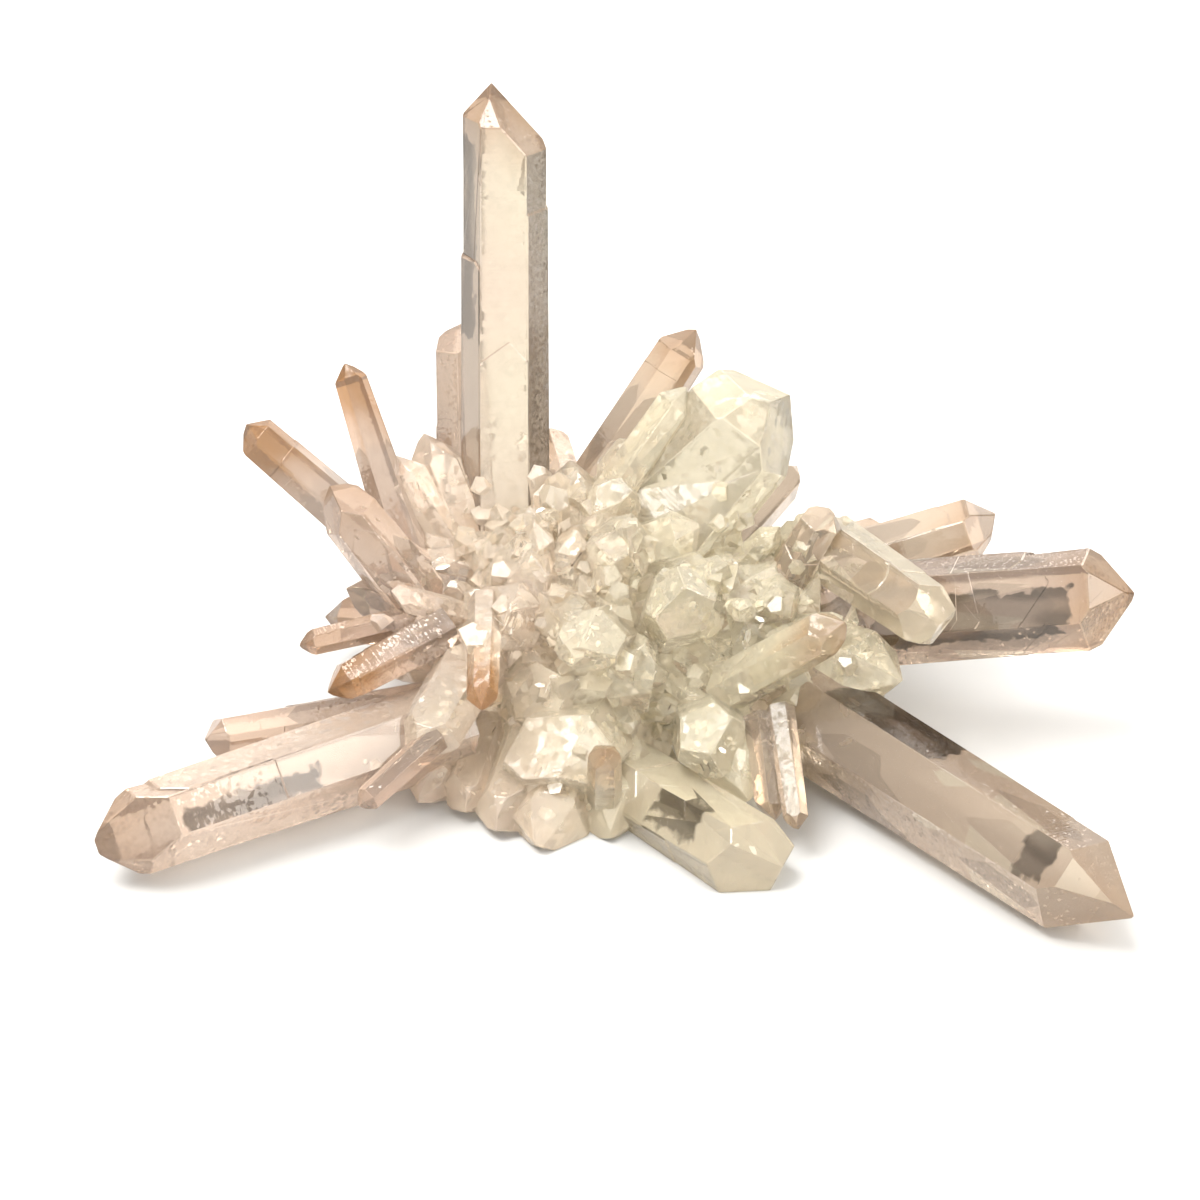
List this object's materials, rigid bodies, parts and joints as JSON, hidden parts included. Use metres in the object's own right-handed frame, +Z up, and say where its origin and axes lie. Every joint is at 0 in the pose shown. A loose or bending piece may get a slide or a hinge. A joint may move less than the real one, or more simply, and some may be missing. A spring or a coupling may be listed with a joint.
{
  "type": "quartz crystal cluster",
  "caption": "Natural quartz crystal cluster: long clear points that radiate from an intergrown mass, resting on its broken base.",
  "frame": {"origin": "a point on the flat broken base, under the middle of the cluster's intergrown mass", "axes": "+Z up from the base; +X across the best side to the right, along the longest extent; -Y the way the best side faces"},
  "size_m": [0.1147, 0.0901, 0.0714],
  "materials": {
    "quartz": "clear to milky natural quartz, pale champagne, with faint pink at the left and iron-stained tips"
  },
  "bodies": {
    "root": {"quartz_cluster": "quartz"}
  },
  "joints": []
}
